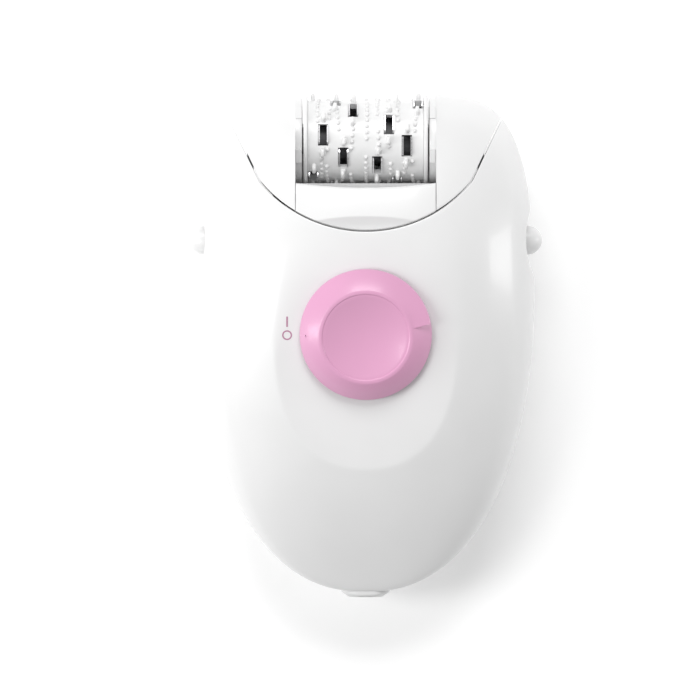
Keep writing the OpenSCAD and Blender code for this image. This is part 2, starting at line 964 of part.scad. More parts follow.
module gear_cover() {
    t = 1.2;
    color("lightgray")
        difference() {
            union() {
                along_x(frame_x, 4, t, drum_at);
                for (p = pillars) {
                    along_x(frame_x, 1.5, t, p);
                    translate([frame_x, p[0], p[1]])
                        rotate([atan2(drum_at[1] - p[1], drum_at[0] - p[0]), 0, 0])
                            translate([0, 0, -1.3])
                                cube([t, norm(drum_at - p), 2.6]);
                }
            }
            along_x(frame_x - 1, axle_r + 0.01, 4, drum_at);
        }
}

module idler_pin() {
    color("silver")
        along_x(train_x - 0.1, gear_pin_r, -window_x - 0.25 - train_x + 0.1, idler_at);
}

module drum_axle() {
    color("silver")
        along_x(frame_x, axle_r, window_x + 3.9 - frame_x, drum_at);
}

module drum_core() {
    color("gainsboro")
        difference() {
            along_x(train_x - 0.1, core_r, drum_half + 1.6 - train_x, drum_at);
            along_x(train_x - 1, axle_r + run_fit, far, drum_at);
        }
}

// Points the piece at an angle above the front of the drum
module on_drum(angle) {
    translate([0, drum_at[0], drum_at[1]])
        rotate([-angle, 0, 0])
            children();
}

module drum_sleeve() {
    color("whitesmoke")
        difference() {
            union() {
                along_x(-drum_half, sleeve_r, 2 * drum_half, drum_at);
                for (s = slots, turn = [0, 180], side = [-1, 1])
                    on_drum(s[1] + turn + side * (slot_angle / 2 + fin_angle))
                        translate([s[0] - fin_w / 2, -0.9, 0])
                            cube([fin_w, 1.8, tip_r - 0.05]);
            }
            along_x(-drum_half - 1, sleeve_r - sleeve_t, 2 * drum_half + 2, drum_at);
            for (s = slots, turn = [0, 180])
                on_drum(s[1] + turn)
                    translate([s[0] - slot_w / 2, -sleeve_r * sin(slot_angle / 2), 0])
                        cube([slot_w, 2 * sleeve_r * sin(slot_angle / 2), far / 4]);
        }
}

module drum_end(side) {
    x = side > 0 ? drum_half : -drum_half - end_t;
    difference() {
        along_x(x, end_r, end_t, drum_at);
        along_x(x - 1, core_r + 0.01, end_t + 2, drum_at);
    }
}

module drum_end_left() {
    color("white")
        drum_end(-1);
}

module drum_end_right() {
    color("white")
        drum_end(1);
}

module tweezer_ear(low) {
    w = 2 * sleeve_r * sin(slot_angle / 2) - 0.6;
    translate([0, -w / 2, low])
        cube([plate_t, w, plate_tip_r * cos(slot_angle / 2) + 0.5 - low]);
}

module tweezers_fixed() {
    color("silver")
        for (s = slots, turn = [0, 180])
            on_drum(s[1] + turn)
                translate([s[0] + slot_w / 2 - plate_t - 0.02, 0, 0])
                    tweezer_ear(sleeve_r - sleeve_t - 0.6);
}

module tweezers_moving() {
    color("silver")
        difference() {
            union() {
                along_x(-drum_half + 0.3, 5.6, 2 * drum_half - 0.6 - pinch - 0.2, drum_at);
                for (s = slots, turn = [0, 180])
                    on_drum(s[1] + turn)
                        translate([s[0] - slot_w / 2 + 0.1, 0, 0])
                            tweezer_ear(5);
            }
            along_x(-drum_half - 1, core_r + 0.3, far, drum_at);
        }
}

module drum_collar(side) {
    t = window_x - drum_half - end_t - loose;
    x = side > 0 ? window_x - t : -window_x;
    difference() {
        union() {
            along_x(x, ring_r, t, drum_at);
            for (a = [38, -22, 150])
                on_drum(a)
                    translate([x + 0.1, -1.6, ring_r - 1])
                        cube([t - 0.2, 3.2, 1.3]);
        }
        along_x(x - 1, ring_r - 1.8, t + 2, drum_at);
    }
}

module drum_collar_left() {
    color("white")
        drum_collar(-1);
}

module drum_collar_right() {
    color("white")
        drum_collar(1);
}

front_shell();
rear_shell();
shell_screws();
dial_knob();
dial_hub();
switch_board();
board_choke();
switch_body();
switch_slider();
motor_can();
motor_magnets();
motor_end_cap();
motor_rotor();
motor_pinion();
gearbox_frame();
reduction_pin();
reduction_gear();
output_pin();
output_gear();
dc_collar();
dc_socket();
dc_pin();
power_leads();
motor_leads();
button_left();
button_right();
spring_left();
spring_right();
head_housing();
head_front_plate();
gear_cover();
idler_pin();
idler_gear();
drum_axle();
drum_core();
drum_gear();
drum_sleeve();
drum_end_left();
drum_end_right();
tweezers_fixed();
tweezers_moving();
drum_collar_left();
drum_collar_right();
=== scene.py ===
import json
import math
import bmesh
import bpy
import numpy as np
from mathutils import Vector, Matrix


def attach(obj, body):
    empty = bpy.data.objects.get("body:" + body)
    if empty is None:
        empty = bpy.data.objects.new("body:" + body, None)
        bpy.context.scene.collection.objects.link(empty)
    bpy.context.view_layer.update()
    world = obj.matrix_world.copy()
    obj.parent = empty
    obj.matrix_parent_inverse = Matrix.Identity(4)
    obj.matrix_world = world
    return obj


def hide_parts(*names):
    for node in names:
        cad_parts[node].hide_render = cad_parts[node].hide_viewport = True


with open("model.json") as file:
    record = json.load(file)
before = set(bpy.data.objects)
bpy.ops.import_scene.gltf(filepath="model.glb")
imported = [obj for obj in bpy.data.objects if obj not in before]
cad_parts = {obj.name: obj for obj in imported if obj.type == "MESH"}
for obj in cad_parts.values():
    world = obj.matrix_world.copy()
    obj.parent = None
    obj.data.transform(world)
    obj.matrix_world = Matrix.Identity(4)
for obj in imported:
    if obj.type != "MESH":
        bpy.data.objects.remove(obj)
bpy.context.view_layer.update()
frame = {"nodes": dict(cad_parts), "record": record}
mm = 0.001

# egg-shaped body, all in millimetres
egg = dict(width=75.8, foot=-58.0, top=54.0, wide=9.5, crown=24.2, crest=22.0, fall=21.25,
           seam=17.0, bulge=0.6, power=2.2, wall=2.0, facetZ=37.0, facetTilt=math.radians(9))
joint = dict(arcY=53.35, arcR=30.5, cornerX=23.6, lean=math.radians(25.6), gap=0.175, deck=1.6)
joint["cornerY"] = joint["arcY"] - math.sqrt(joint["arcR"] ** 2 - joint["cornerX"] ** 2)
button = dict(y=21.1, r=3.24, depth=2.0, scoopR=16.3)
drum = dict(y=43.4, z=21.0, r=9.0, inner=7.6, half=13.0, window=15.7)
inlet = dict(width=11.2, height=8.0, z=13.4, front=-59.2, back=-52.2, bore=3.57)
screws = [(-27.5, 0), (27.5, 0), (0, -36)]
gearRoom = dict(x=(-21.2, -17.9), y=(12, 40), z=(14, 28))
edgeRound = 0.28


# form of the body, as functions of y

def bend(v):
    return np.sign(v) * np.abs(v) ** (2 / egg["power"])


def reach(y, inset):
    y = np.asarray(y, float)
    span = np.where(y < egg["wide"], egg["wide"] - egg["foot"], egg["top"] - egg["wide"]) - inset
    return np.minimum(1, np.abs(y - egg["wide"]) / span)


def halfWidth(y, inset=0.0):
    y = np.asarray(y, float)
    r = reach(y, inset)
    low = np.power(np.maximum(0, 1 - r ** 2.15), 1 / 2.3)
    high = np.power(np.maximum(0, 1 - r ** 2.45), 1 / 6)
    return (egg["width"] / 2 - inset) * np.where(y < egg["wide"], low, high)


def frontRise(y, inset=0.0):
    y = np.asarray(y, float)
    r = reach(y, inset)
    below = np.maximum(0, egg["crest"] - y) / (egg["crest"] - egg["foot"])
    crest = egg["crown"] - egg["fall"] * below ** 2.1
    low = np.power(np.maximum(0, 1 - r ** 6), 1 / 2.2)
    high = np.sqrt(np.maximum(0, 1 - r ** 2.45))
    return (crest - inset) * np.where(y < egg["wide"], low, high)


def backRise(y, inset=0.0):
    middle = (egg["top"] + egg["foot"]) / 2
    half = (egg["top"] - egg["foot"]) / 2 - inset
    t = np.abs(np.asarray(y, float) - middle) / half
    return (egg["seam"] + egg["bulge"] - inset) * np.sqrt(np.maximum(0, 1 - t ** 2.6))


def jointY(x, grow):
    x = np.abs(np.asarray(x, float))
    r = joint["arcR"] + grow
    arc = joint["arcY"] - np.sqrt(np.maximum(0, r * r - x * x))
    along = (x - joint["cornerX"]) * math.cos(joint["lean"])
    line = joint["cornerY"] + (along - grow) / math.sin(joint["lean"])
    return np.where(x < 26.5, np.maximum(arc, line), line)


def softMin(a, b, k):
    h = np.clip(0.5 + 0.5 * (b - a) / k, 0, 1)
    return b * (1 - h) + a * h - k * h * (1 - h)


def facetPlane(y, inset=0.0):
    return egg["facetZ"] + y * math.tan(egg["facetTilt"]) - inset / math.cos(egg["facetTilt"])


def skin(c, s, y, inset):
    # point of the handle's surface: c and s place it round the section
    hw = halfWidth(y, inset)
    x = hw * bend(c)
    z = np.where(s >= 0, frontRise(y, inset), backRise(y, inset)) * bend(s) + egg["seam"]
    blur = np.clip(0.12 + (y + 5) * 0.09, 0.12, 2.6)
    z = np.where(s > 0, softMin(z, facetPlane(y, inset), blur), z)
    z = np.where(s < 0, -softMin(-z, np.full_like(z, -inset), 0.5), z)
    centre = float(halfWidth(button["y"])) - button["depth"] + button["scoopR"]
    room = (button["scoopR"] + inset) ** 2 - (y - button["y"]) ** 2 - (0.4 * (z - egg["seam"])) ** 2
    ball = np.where(room > 0, centre - np.sqrt(np.maximum(room, 0)), 1e3)
    x = np.sign(x) * np.where(np.abs(x) > 20, softMin(np.abs(x), ball, 0.35), np.abs(x))
    return np.stack([x, y, z], -1)


# mesh tools

def solid(name, points, faces):
    mesh = bpy.data.meshes.new(name)
    mesh.from_pydata((np.asarray(points, float) * mm).tolist(), [], [tuple(int(i) for i in f) for f in faces])
    mesh.update()
    ob = bpy.data.objects.new(name, mesh)
    bpy.context.scene.collection.objects.link(ob)
    return ob


def outward(ob):
    bm = bmesh.new()
    bm.from_mesh(ob.data)
    bmesh.ops.recalc_face_normals(bm, faces=bm.faces)
    bm.to_mesh(ob.data)
    bm.free()
    return ob


def ringSolid(name, rings, closed=False):
    # skin over rings of equal length, capped at both ends, or joined end to start
    rings = np.asarray(rings, float)
    n, m = rings.shape[:2]
    faces = []
    for i in range(n if closed else n - 1):
        a, b = i * m, ((i + 1) % n) * m
        faces += [(a + k, a + (k + 1) % m, b + (k + 1) % m, b + k) for k in range(m)]
    if not closed:
        faces += [tuple(range(m))[::-1], tuple(range((n - 1) * m, n * m))]
    return outward(solid(name, rings.reshape(-1, 3), faces))


def boxSolid(name, x, y, z, place=None):
    pts = [place(a, b, c) if place else (a, b, c) for c in z for b in y for a in x]
    faces = [(0, 2, 3, 1), (4, 5, 7, 6), (0, 1, 5, 4), (2, 6, 7, 3), (0, 4, 6, 2), (1, 3, 7, 5)]
    return solid(name, pts, faces)


def rodSolid(name, start, end, r, sides=64):
    a, b = Vector(start), Vector(end)
    turn = (b - a).to_track_quat("Z", "Y").to_matrix()
    return ringSolid(name, [[p + q for q in circle(turn, r, 0, sides)] for p in (a, b)])


def circle(place, r, h, sides, x=0, y=0):
    angles = [2 * math.pi * k / sides for k in range(sides)]
    return [place @ Vector((x + r * math.cos(a), y + r * math.sin(a), h)) for a in angles]


def turned(name, profile, sides, place):
    # profile of (radius, height) pairs turned round the local Z axis; place maps local to world
    pts, rows = [], []
    for r, h in profile:
        if r < 1e-6:
            rows.append([len(pts)])
            pts.append(place @ Vector((0, 0, h)))
        else:
            rows.append(list(range(len(pts), len(pts) + sides)))
            pts += circle(place, r, h, sides)
    faces = []
    ends = rows + [rows[0]] if len(rows[0]) > 1 else rows
    for a, b in zip(ends, ends[1:]):
        for k in range(sides):
            j = (k + 1) % sides
            if len(a) > 1 and len(b) > 1:
                faces.append((a[k], a[j], b[j], b[k]))
            elif len(a) > 1:
                faces.append((a[k], a[j], b[0]))
            elif len(b) > 1:
                faces.append((a[0], b[j], b[k]))
    return outward(solid(name, pts, faces))


def carve(target, cutter, how="DIFFERENCE"):
    step = target.modifiers.new("cut", "BOOLEAN")
    step.operation, step.solver, step.object = how, "MANIFOLD", cutter
    bpy.context.view_layer.update()
    mesh = bpy.data.meshes.new_from_object(target.evaluated_get(bpy.context.evaluated_depsgraph_get()))
    target.modifiers.clear()
    target.data = mesh
    bpy.data.objects.remove(cutter)
    if not len(mesh.polygons):
        print("empty after", how, target.name)
    return target


def copyOf(ob, name):
    twin = bpy.data.objects.new(name, ob.data.copy())
    bpy.context.scene.collection.objects.link(twin)
    return twin


def joined(name, parts):
    pts, faces, at = [], [], 0
    for ob in parts:
        pts += [tuple(v.co / mm) for v in ob.data.vertices]
        faces += [tuple(i + at for i in p.vertices) for p in ob.data.polygons]
        at += len(ob.data.vertices)
        bpy.data.objects.remove(ob)
    return solid(name, pts, faces)


def finishShape(ob, angle=32):
    for p in ob.data.polygons:
        p.use_smooth = True
    ob.data.set_sharp_from_angle(angle=math.radians(angle))
    return ob


def give(ob, material, body, slotName, *nodes):
    ob.data.materials.clear()
    ob.data.materials.append(material)
    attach(ob, body)
    if nodes:
        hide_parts(*nodes)
    return ob


# solids of the body

def handleSolid(name, inset, grow, columns, rows, fillet):
    # closed egg from the foot to the joint, with a rounded edge there
    angle = 2 * np.pi * np.arange(columns) / columns
    c, s = np.cos(angle), np.sin(angle)
    s[0] = s[columns // 2] = 0
    c[np.abs(c) < 1e-12] = 0
    foot = egg["foot"] + inset
    low, high = np.zeros(columns), np.full(columns, egg["top"] - inset - 0.05)
    for _ in range(50):
        y = (low + high) / 2
        past = y > jointY(skin(c, s, y, inset)[:, 0], grow)
        low, high = np.where(past, low, y), np.where(past, y, high)
    end = (low + high) / 2
    layers = []
    for u in np.linspace(0, 1, rows + 1)[1:]:
        layers.append(skin(c, s, foot + (end - fillet - foot) * (1 - math.cos(u * math.pi / 2)), inset))
    if fillet:
        edge = skin(c, s, end, inset)
        alongY = edge - skin(c, s, end - 0.05, inset)
        turnBy = 1e-3
        c2, s2 = np.cos(angle + turnBy), np.sin(angle + turnBy)
        around = skin(c2, np.where(s == 0, s2, s2), end, inset) - edge
        normal = np.cross(around, alongY)
        normal /= np.linalg.norm(normal, axis=1)[:, None] + 1e-12
        outside = edge - np.array([0, 0, egg["seam"]])
        normal *= np.sign(np.sum(normal * outside * [1, 0, 1], axis=1))[:, None]
        slope = (jointY(np.abs(edge[:, 0]) + 0.01, grow) - jointY(np.abs(edge[:, 0]) - 0.01, grow)) / 0.02
        wallN = np.stack([-np.sign(edge[:, 0]) * slope, np.ones(columns), np.zeros(columns)], -1)
        wallN /= np.linalg.norm(wallN, axis=1)[:, None]
        inward = -normal + np.sum(normal * wallN, axis=1)[:, None] * wallN
        inward /= np.linalg.norm(inward, axis=1)[:, None] + 1e-12
        for t in np.radians([22, 45, 67, 90]):
            ring = skin(c, s, end - fillet * (1 - math.sin(t)), inset)
            layers.append(ring + inward * fillet * (1 - math.cos(t)))
    pts = [[0, foot, egg["seam"]]] + [p for layer in layers for p in layer]
    n = columns
    faces = [(0, 1 + (k + 1) % n, 1 + k) for k in range(n)]
    for i in range(len(layers) - 1):
        a, b = 1 + i * n, 1 + (i + 1) * n
        faces += [(a + k, a + (k + 1) % n, b + (k + 1) % n, b + k) for k in range(n)]
    last = 1 + (len(layers) - 1) * n
    half = n // 2
    for k in range(half):
        a, b, p, q = k, k + 1, (n - k - 1) % n, (n - k) % n
        if k == 0:
            faces.append((last + a, last + b, last + p))
        elif k == half - 1:
            faces.append((last + a, last + b, last + q))
        else:
            faces.append((last + a, last + b, last + p, last + q))
    return outward(solid(name, pts, faces))


def headSlice(x, y, inset):
    hw = np.maximum(halfWidth(y, inset), 1e-9)
    return np.power(np.maximum(0, 1 - np.minimum(1, np.abs(x) / hw) ** egg["power"]), 1 / egg["power"])


def headPoint(x, y, side, inset):
    rise = frontRise(y, inset) if side > 0 else -backRise(y, inset)
    return egg["seam"] + rise * headSlice(x, y, inset)


def headSolid(name, inset, grow, slices, steps, fillet):
    # closed slices at constant x, from one end of the joint line to the other
    top = egg["top"] - inset
    low, high = 30.0, top - 1e-4
    for _ in range(60):
        y = (low + high) / 2
        if y < float(jointY(halfWidth(y, inset), grow)):
            low = y
        else:
            high = y
    tipY, tipX = low, float(halfWidth(low, inset))
    rings = []
    xs = tipX * np.sin(np.linspace(-np.pi / 2, np.pi / 2, slices + 1))[1:-1]
    for x in xs:
        # upper is the last y at which the outline is still as wide as x
        a, b = egg["wide"], top
        for _ in range(60):
            y = (a + b) / 2
            if float(halfWidth(y, inset)) > abs(x):
                a = y
            else:
                b = y
        upper = a
        start = float(jointY(x, grow))
        f = min(fillet, 0.3 * (upper - start))
        line = []
        for side in (1, -1):
            rows = []
            for t in ([np.pi / 2, 1.17, 0.785, 0.4] if fillet else []):
                y = start + f * (1 - math.sin(t))
                z = float(headPoint(x, y, side, inset)) - side * f * (1 - math.cos(t))
                rows.append((x, y, z))
            ys = start + f + (upper - start - f) * np.sin(np.linspace(0, np.pi / 2, steps + 1))
            zs = headPoint(x, ys, side, inset)
            rows += [(x, y, z) for y, z in zip(ys, zs)]
            if side > 0:
                line += rows
            else:
                line += rows[::-1][1:]
        rings.append(line)
    m = len(rings[0])
    pts = [(-tipX, tipY, egg["seam"])] + [p for ring in rings for p in ring] + [(tipX, tipY, egg["seam"])]
    faces = [(0, 1 + (k + 1) % m, 1 + k) for k in range(m)]
    for i in range(len(rings) - 1):
        a, b = 1 + i * m, 1 + (i + 1) * m
        faces += [(a + k, a + (k + 1) % m, b + (k + 1) % m, b + k) for k in range(m)]
    last = 1 + (len(rings) - 1) * m
    faces += [(last + k, last + (k + 1) % m, len(pts) - 1) for k in range(m)]
    return outward(solid(name, pts, faces))


def stadium(name, width, height, y, z, grow, sides=24):
    r = height / 2 + grow
    side = (width - height) / 2
    loop = [(s * side + s * r * math.sin(t), z + r * s * math.cos(t)) for s in (1, -1)
            for t in np.linspace(0, math.pi, sides)]
    return ringSolid(name, [[(px, yy, pz) for px, pz in loop] for yy in y])


# materials

def shaderBase(name, metallic=0.0, specular=0.5, coat=0.0):
    material = bpy.data.materials.new(name)
    material.use_nodes = True
    tree = material.node_tree
    shader = tree.nodes["Principled BSDF"]
    shader.inputs["Metallic"].default_value = metallic
    shader.inputs["Specular IOR Level"].default_value = specular
    shader.inputs["Coat Weight"].default_value = coat
    shader.inputs["Coat Roughness"].default_value = 0.08
    place = tree.nodes.new("ShaderNodeTexCoord")
    return material, tree, shader, place


def spread(tree, place, scale, low, high, socket):
    # soft noise between two values, for one socket
    noise = tree.nodes.new("ShaderNodeTexNoise")
    noise.inputs["Scale"].default_value = scale
    noise.inputs["Detail"].default_value = 3
    tree.links.new(place.outputs["Object"], noise.inputs["Vector"])
    fit = tree.nodes.new("ShaderNodeMapRange")
    fit.inputs["From Min"].default_value = 0.3
    fit.inputs["From Max"].default_value = 0.7
    fit.inputs["To Min"].default_value = low
    fit.inputs["To Max"].default_value = high
    tree.links.new(noise.outputs["Fac"], fit.inputs["Value"])
    tree.links.new(fit.outputs["Result"], socket)


def tinted(tree, place, scale, first, second, socket):
    noise = tree.nodes.new("ShaderNodeTexNoise")
    noise.inputs["Scale"].default_value = scale
    tree.links.new(place.outputs["Object"], noise.inputs["Vector"])
    ramp = tree.nodes.new("ShaderNodeValToRGB")
    ramp.color_ramp.elements[0].position = 0.35
    ramp.color_ramp.elements[1].position = 0.65
    ramp.color_ramp.elements[0].color = (*first, 1)
    ramp.color_ramp.elements[1].color = (*second, 1)
    tree.links.new(noise.outputs["Fac"], ramp.inputs["Fac"])
    tree.links.new(ramp.outputs["Color"], socket)


def grain(tree, place, shader, scale, strength, depth):
    noise = tree.nodes.new("ShaderNodeTexNoise")
    noise.inputs["Scale"].default_value = scale
    tree.links.new(place.outputs["Object"], noise.inputs["Vector"])
    bump = tree.nodes.new("ShaderNodeBump")
    bump.inputs["Strength"].default_value = strength
    bump.inputs["Distance"].default_value = depth
    tree.links.new(noise.outputs["Fac"], bump.inputs["Height"])
    tree.links.new(bump.outputs["Normal"], shader.inputs["Normal"])


def shade(color, k):
    return tuple(min(1, v * k) for v in color)


def plastic(name, color, rough, coat=0.0, specular=0.5):
    material, tree, shader, place = shaderBase(name, coat=coat, specular=specular)
    tinted(tree, place, 60, shade(color, 0.985), shade(color, 1.01), shader.inputs["Base Color"])
    spread(tree, place, 900, rough * 0.92, rough * 1.08, shader.inputs["Roughness"])
    return material


def metal(name, color, rough):
    material, tree, shader, place = shaderBase(name, metallic=1.0)
    tinted(tree, place, 400, shade(color, 0.92), shade(color, 1.04), shader.inputs["Base Color"])
    spread(tree, place, 1500, rough * 0.8, rough * 1.2, shader.inputs["Roughness"])
    grain(tree, place, shader, 2500, 0.08, 0.00005)
    return material


finish = {
    "shell_white": plastic("shellWhite", (0.80, 0.80, 0.80), 0.30, coat=0.25),
    "head_white": plastic("headWhite", (0.80, 0.80, 0.80), 0.30, coat=0.25),
    "dial_pink": plastic("dialPink", (0.72, 0.36, 0.55), 0.32, coat=0.15),
    "button_white": plastic("buttonWhite", (0.78, 0.78, 0.78), 0.30, coat=0.2),
    "collar_white": plastic("collarWhite", (0.72, 0.72, 0.72), 0.38),
    "drum_white": plastic("drumWhite", (0.82, 0.82, 0.82), 0.34, coat=0.1),
    "inner_plastic": plastic("innerPlastic", (0.62, 0.62, 0.60), 0.5),
    "gear_plastic": plastic("gearPlastic", (0.70, 0.68, 0.60), 0.45),
    "black_plastic": plastic("blackPlastic", (0.03, 0.03, 0.03), 0.45),
    "board_green": plastic("boardGreen", (0.03, 0.16, 0.07), 0.5),
    "lead_red": plastic("leadRed", (0.45, 0.03, 0.03), 0.45),
    "ferrite": plastic("ferriteGrey", (0.06, 0.06, 0.065), 0.7),
    "copper": metal("copperWire", (0.72, 0.36, 0.20), 0.35),
    "brass": metal("brassPin", (0.75, 0.58, 0.28), 0.3),
    "steel": metal("steelPart", (0.62, 0.62, 0.63), 0.3),
    "tweezer_metal": metal("tweezerMetal", (0.86, 0.86, 0.87), 0.3),
}
slotOf = {s["node"]: s["material_slot"] for s in frame["record"]["subparts"]}
bodyOf = {n: b for b, ns in frame["record"]["behaviour"]["bodies"].items() for n in ns}
for nodeName, nodeObject in frame["nodes"].items():
    for place in nodeObject.material_slots:
        place.material = finish[slotOf[nodeName]]
print("materials ready")


# handle shells

def latchSlots(name):
    lug = dict(x=(24.95, 26.85), y=(29.1, 46.0), z=(14.35, 19.65))
    left = boxSolid(name + "A", [-lug["x"][1], -lug["x"][0]], lug["y"], lug["z"])
    right = boxSolid(name + "B", lug["x"], lug["y"], lug["z"])
    return joined(name, [left, right])


def makeHandle():
    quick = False
    columns, rows = (240, 150) if quick else (400, 300)
    whole = handleSolid("handleWhole", 0, joint["gap"], columns, rows, edgeRound)
    cavity = handleSolid("handleCavity", egg["wall"], joint["gap"] + joint["deck"], 120, 80, 0)
    for i, (x, y) in enumerate(screws):
        carve(cavity, rodSolid("boss" + str(i), (x, y, -5), (x, y, 45), 3.2))
    carve(whole, cavity)
    carve(whole, latchSlots("latchSlots"))
    carve(whole, boxSolid("gearSlot", **gearRoom))
    for side in (-1, 1):
        start, end = [(side * x, button["y"], egg["seam"]) for x in (30, 45)]
        carve(whole, rodSolid("buttonHole", start, end, button["r"] + 0.06))
    carve(whole, stadium("inletHole", inlet["width"], inlet["height"], (-62, -50), inlet["z"], 0.1))
    tilt = Matrix.Rotation(egg["facetTilt"], 3, "X")
    hub = [Vector((0, 0, egg["facetZ"])) + tilt @ Vector((0, 0, h)) for h in (-8, 4)]
    carve(whole, rodSolid("hubHole", hub[0], hub[1], 3.46))
    rear = copyOf(whole, "rearShell")
    front = whole
    front.name = "frontShell"
    carve(front, boxSolid("lowerHalf", [-60, 60], [-80, 80], [-10, 17.03]))
    carve(rear, boxSolid("upperHalf", [-60, 60], [-80, 80], [16.97, 60]))
    for i, (x, y) in enumerate(screws):
        carve(rear, rodSolid("bore" + str(i), (x, y, -1), (x, y, 9.6), 2.5))
        carve(rear, rodSolid("shank" + str(i), (x, y, 8), (x, y, 18), 1.35, 32))
        carve(front, rodSolid("thread" + str(i), (x, y, 16), (x, y, 26.5), 1.26, 32))
    give(finishShape(front), finish["shell_white"], "handle", "shell_white", "front_shell")
    give(finishShape(rear), finish["shell_white"], "handle", "shell_white", "rear_shell")
    print("handle", len(front.data.polygons), len(rear.data.polygons))


# head plate and housing

plate = dict(half=15.6, under=2.4, edge=33.6, sag=1.1, peak=3.25, slope=math.radians(29))
plate["lipR"] = (drum["window"] ** 2 + plate["sag"] ** 2) / (2 * plate["sag"])


def lipY(x):
    x = np.asarray(x, float)
    return plate["edge"] - plate["sag"] + plate["lipR"] - np.sqrt(plate["lipR"] ** 2 - x ** 2)


def plateTop(x, y):
    z = headPoint(x, y, 1, 0)
    keyY = 22.85 + plate["peak"]
    peak = float(egg["seam"] + frontRise(keyY))
    return softMin(z, peak + (y - keyY) * math.tan(plate["slope"]), 0.12)


def makePlate():
    # rows from the joint edge to the lip, every row with rounded sides and a skirt
    nx, ny = 150, 110
    r, side = edgeRound, 0.16
    even = np.linspace(-1, 1, nx + 1)
    xs = plate["half"] * np.sin(even * np.pi / 2 * 0.94) / math.sin(np.pi / 2 * 0.94)
    fine = plate["half"] - np.array([0.06, 0.02])
    xs = np.sort(np.concatenate([xs, fine, -fine]))
    start = jointY(xs, -joint["gap"])
    stop = lipY(xs)
    lipRound = 0.8
    rows = []
    gapX = plate["half"] - np.abs(xs)
    drop = side - np.sqrt(np.maximum(0, side ** 2 - np.maximum(0, side - gapX) ** 2))

    def row(y, sink):
        z = plateTop(xs, y) - sink - drop
        return np.stack([xs, y, z], -1)
    bottom = np.stack([xs, start, plateTop(xs, start) - plate["under"]], -1)
    rows.append(bottom)
    for t in (math.pi / 2, 1.17, 0.785, 0.4):
        rows.append(row(start + r * (1 - math.sin(t)), r * (1 - math.cos(t))))
    for v in np.linspace(0, 1, ny):
        rows.append(row(start + r + (stop - lipRound - start - r) * v, 0))
    for t in np.linspace(0.16, math.pi / 2, 9):
        rows.append(row(stop - lipRound * (1 - math.sin(t)), lipRound * (1 - math.cos(t))))
    back = np.stack([xs, stop, plateTop(xs, stop - lipRound) - plate["under"] - 0.4], -1)
    rows.append(back)
    pts = np.array(rows)
    n, m = pts.shape[:2]
    faces = [(i * m + k, i * m + k + 1, (i + 1) * m + k + 1, (i + 1) * m + k)
             for i in range(n - 1) for k in range(m - 1)]
    faces += [(k + 1, k, (n - 1) * m + k, (n - 1) * m + k + 1) for k in range(m - 1)]
    faces += [tuple(i * m for i in range(n)), tuple(i * m + m - 1 for i in range(n))[::-1]]
    ob = outward(solid("headFrontPlate", pts.reshape(-1, 3), faces))
    give(finishShape(ob), finish["head_white"], "head", "head_white", "head_front_plate")
    print("plate", len(ob.data.polygons))


def drumRod(name, start, end, r, sides=64):
    # rod on the drum's axis
    return rodSolid(name, (start, drum["y"], drum["z"]), (end, drum["y"], drum["z"]), r, sides)


def notchCutter(name, grow):
    w = drum["window"] + grow
    cut = boxSolid(name, [-w, w], [plate["edge"] - grow, 80], [8.6 - grow, 80])
    return carve(cut, drumRod(name + "Rod", -w, w, 11.1 + grow, 160), "UNION")


def plateCutter(name, grow):
    w = plate["half"] + grow
    cut = boxSolid(name, [-w, w], [0, plate["edge"] + 1], [25, 80])
    centre = plate["edge"] - plate["sag"] + plate["lipR"]
    return carve(cut, rodSolid(name + "Lip", (0, centre, 20), (0, centre, 90), plate["lipR"] - grow, 1200))


def makeHousing():
    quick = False
    slices, steps = (150, 60) if quick else (260, 90)
    body = headSolid("headHousing", 0, -joint["gap"], slices, steps, edgeRound)
    cavity = headSolid("headCavity", egg["wall"], -joint["gap"] - joint["deck"], 60, 30, 0)
    carve(cavity, notchCutter("notchWall", 1.6))
    for p in ((44.4, 13.6), (38.8, 27.6)):
        carve(cavity, rodSolid("pillar", (-21.1, *p), (0, *p), 1.2, 32))
    carve(cavity, drumRod("axleBoss", drum["window"], 20, 3.0, 48))
    carve(body, cavity)
    carve(body, notchCutter("notch", 0))
    carve(body, plateCutter("plateRoom", 0.12))
    carve(body, boxSolid("crevice", [-drum["window"], drum["window"]], [30.5, 35], [31, 80]))
    carve(body, boxSolid("gearGap", **gearRoom))
    carve(body, drumRod("coreHole", -17.7, -14.7, 3.5))
    for side in (-1, 1):
        xs = [25.2, 26.6] if side > 0 else [-26.6, -25.2]
        carve(body, boxSolid("lug", xs, [19.9, 41.0], [14.6, 19.4]), "UNION")
    carve(body, drumRod("axleHole", 14.7, 19.7, 1.22, 32))
    give(finishShape(body), finish["head_white"], "head", "head_white", "head_housing")
    print("housing", len(body.data.polygons))


# drum, its windows and tweezers

slots = [(-11.7, -67), (-9.5, 7), (-6.7, 74), (-5, -27), (-2.8, 50),
         (2.6, -40), (5.2, 23), (7, -80), (9.2, -9), (11.7, 67)]
slotSize = dict(width=2.3, angle=31.0)


def drumFrame(angle):
    # local x along the drum, local z outwards at that angle above the front
    a = math.radians(angle)
    turn = Matrix(((1, 0, 0), (0, math.cos(a), math.sin(a)), (0, -math.sin(a), math.cos(a))))
    return lambda x, y, z: Vector((0, drum["y"], drum["z"])) + turn @ Vector((x, y, z))


